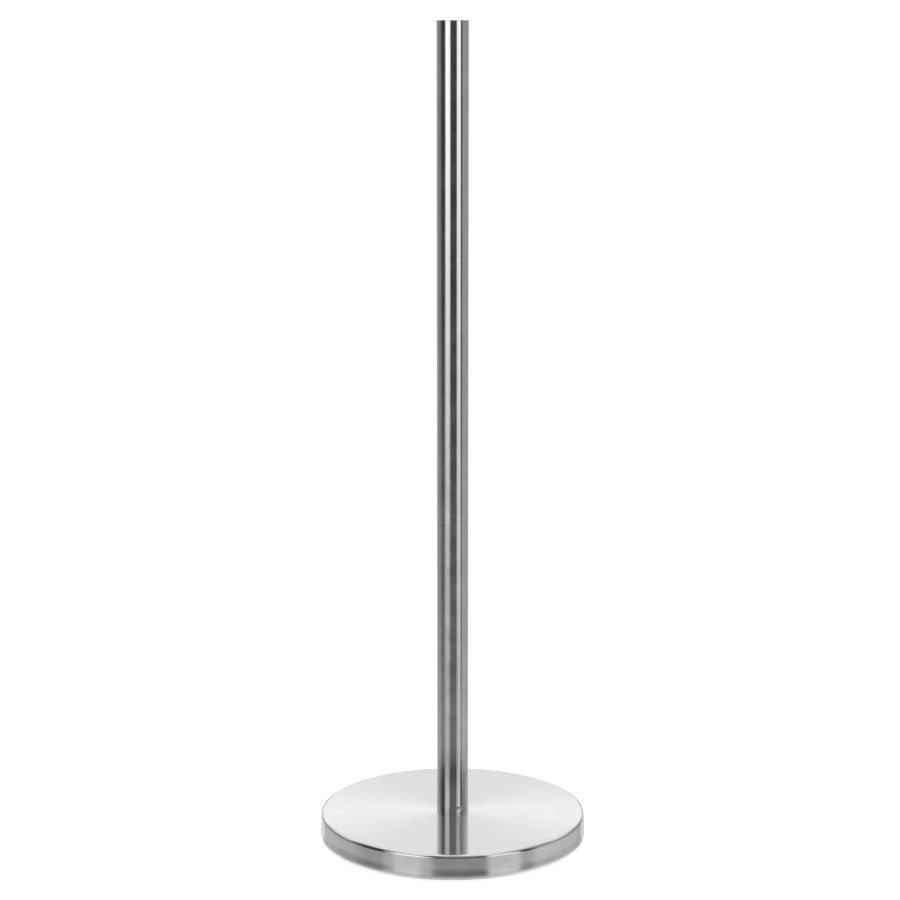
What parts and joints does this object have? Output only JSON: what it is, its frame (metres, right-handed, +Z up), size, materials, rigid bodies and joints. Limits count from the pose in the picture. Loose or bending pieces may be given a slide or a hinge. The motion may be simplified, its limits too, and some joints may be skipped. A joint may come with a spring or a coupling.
{
  "type": "paper towel holder",
  "caption": "Free-standing paper towel holder: a round weighted base with a rolled hem and a plain upright tube post that rolls slide over.",
  "frame": {"origin": "on the floor under the middle of the round base, at the centre of the lowest face", "axes": "+Z up along the post; -Y is the front, and +X is to the right seen from the front"},
  "size_m": [0.181, 0.181, 0.552],
  "materials": {
    "cover_steel": "circular brushed stainless sheet",
    "tube_steel": "brushed round the tube",
    "plate_steel": "zinc plated sheet, dull",
    "pad_rubber": "black rubber sheet, matt",
    "ballast_iron": "as cast, with a thin primer",
    "turned_steel": "turned, bare",
    "fastener_steel": "zinc plated"
  },
  "bodies": {
    "root": {"base_cover": "cover_steel", "ballast_disc": "ballast_iron", "bottom_plate": "plate_steel", "foot_pad": "pad_rubber", "post_tube": "tube_steel", "post_top_cap": "tube_steel", "post_plug": "turned_steel", "post_screw": "fastener_steel", "spring_washer": "fastener_steel", "flat_washer": "fastener_steel"}
  },
  "joints": []
}
